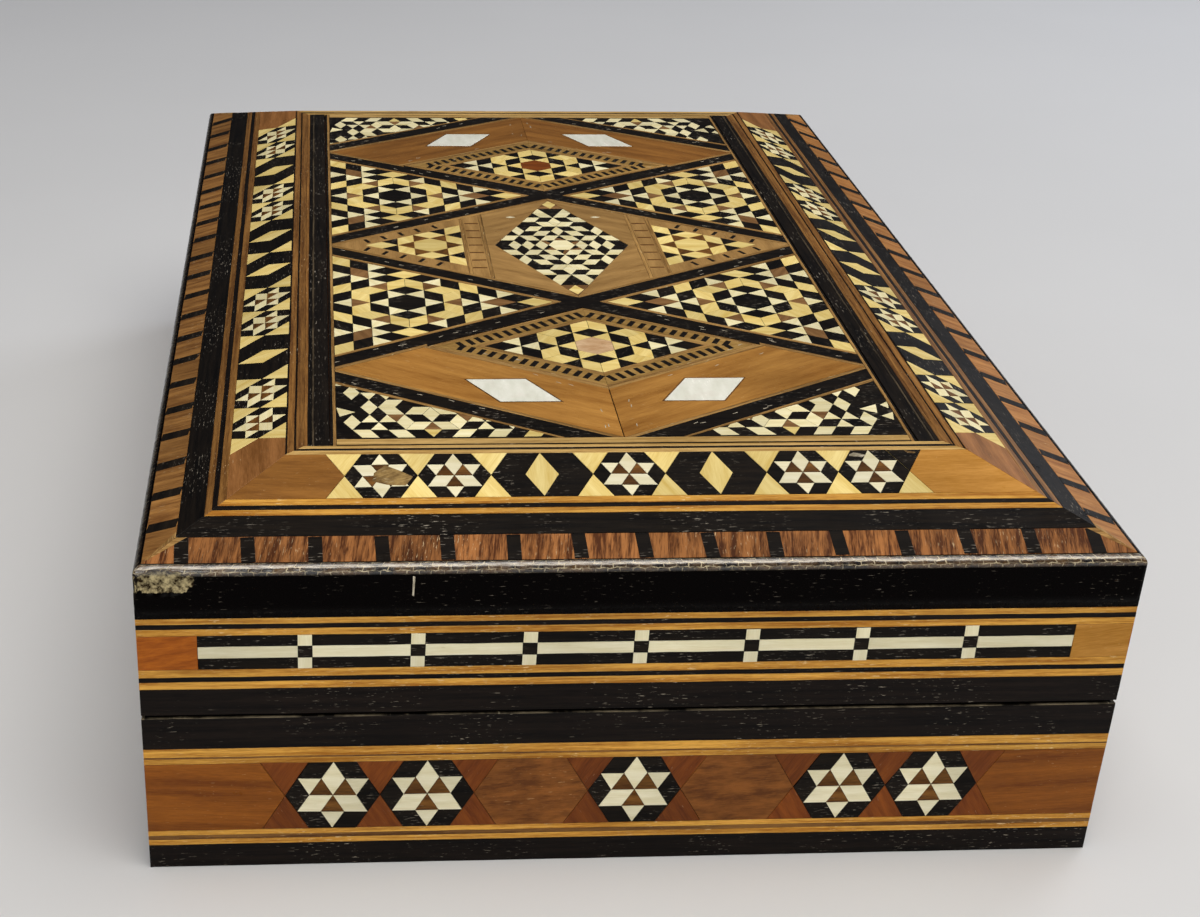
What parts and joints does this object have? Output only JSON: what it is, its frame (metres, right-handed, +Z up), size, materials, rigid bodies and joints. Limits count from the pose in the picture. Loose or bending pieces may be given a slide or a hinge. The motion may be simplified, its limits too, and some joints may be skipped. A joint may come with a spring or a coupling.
{
  "type": "cigarette box",
  "caption": "Rectangular marquetry cigarette box, hollow, with a bevelled lift-off lid; inlaid bands on its sides and a field of lozenges on the lid.",
  "frame": {"origin": "middle of the underside", "axes": "+Y along the box's length, away from the front short end; +X across it; +Z up through the lid"},
  "size_m": [0.11, 0.163, 0.0452],
  "materials": {
    "carcass_walnut": "oiled, unvarnished inside",
    "ebony": "satin lacquer, worn",
    "rosewood": "satin lacquer",
    "honey_wood": "satin lacquer",
    "umber_wood": "satin lacquer",
    "mosaic": "satin lacquer over boxwood, ebony and bone tesserae",
    "bone_and_ebony": "satin lacquer over ebony, orange wood and a bone line",
    "stringing": "satin lacquer",
    "mother_of_pearl": "polished shell with a faint sheen"
  },
  "bodies": {
    "root": {"back_chevron": "honey_wood", "back_left_corner_mosaic": "mosaic", "back_left_pearl": "mother_of_pearl", "back_left_side_mosaic": "mosaic", "back_right_corner_mosaic": "mosaic", "back_right_pearl": "mother_of_pearl", "back_right_side_mosaic": "mosaic", "back_rope_lozenge": "umber_wood", "base_back_ebony_high": "ebony", "base_back_ebony_low": "ebony", "base_back_star_band": "honey_wood", "base_carcass": "carcass_walnut", "base_front_ebony_high": "ebony", "base_front_ebony_low": "ebony", "base_front_star_band": "honey_wood", "base_left_ebony_high": "ebony", "base_left_ebony_low": "ebony", "base_left_star_band": "honey_wood", "base_right_ebony_high": "ebony", "base_right_ebony_low": "ebony", "base_right_star_band": "honey_wood", "border_back_blocks": "rosewood", "border_back_stars": "mosaic", "border_ebony_frame": "ebony", "border_front_blocks": "rosewood", "border_front_stars": "mosaic", "border_left_blocks": "rosewood", "border_left_stars": "mosaic", "border_right_blocks": "rosewood", "border_right_stars": "mosaic", "field_left_ebony": "ebony", "field_lines": "ebony", "field_right_ebony": "ebony", "field_string_frame": "stringing", "front_chevron": "honey_wood", "front_left_corner_mosaic": "mosaic", "front_left_pearl": "mother_of_pearl", "front_left_side_mosaic": "mosaic", "front_right_corner_mosaic": "mosaic", "front_right_pearl": "mother_of_pearl", "front_right_side_mosaic": "mosaic", "front_rope_lozenge": "umber_wood", "lid_back_bone_band": "bone_and_ebony", "lid_back_ebony_edge": "ebony", "lid_back_ebony_low": "ebony", "lid_carcass": "carcass_walnut", "lid_front_bone_band": "bone_and_ebony", "lid_front_ebony_edge": "ebony", "lid_front_ebony_low": "ebony", "lid_left_bone_band": "bone_and_ebony", "lid_left_ebony_edge": "ebony", "lid_left_ebony_low": "ebony", "lid_right_bone_band": "bone_and_ebony", "lid_right_ebony_edge": "ebony", "lid_right_ebony_low": "ebony", "middle_fine_mosaic": "mosaic", "middle_left_field": "umber_wood", "middle_left_triangle": "umber_wood", "middle_right_field": "umber_wood", "middle_right_triangle": "umber_wood"}
  },
  "joints": []
}
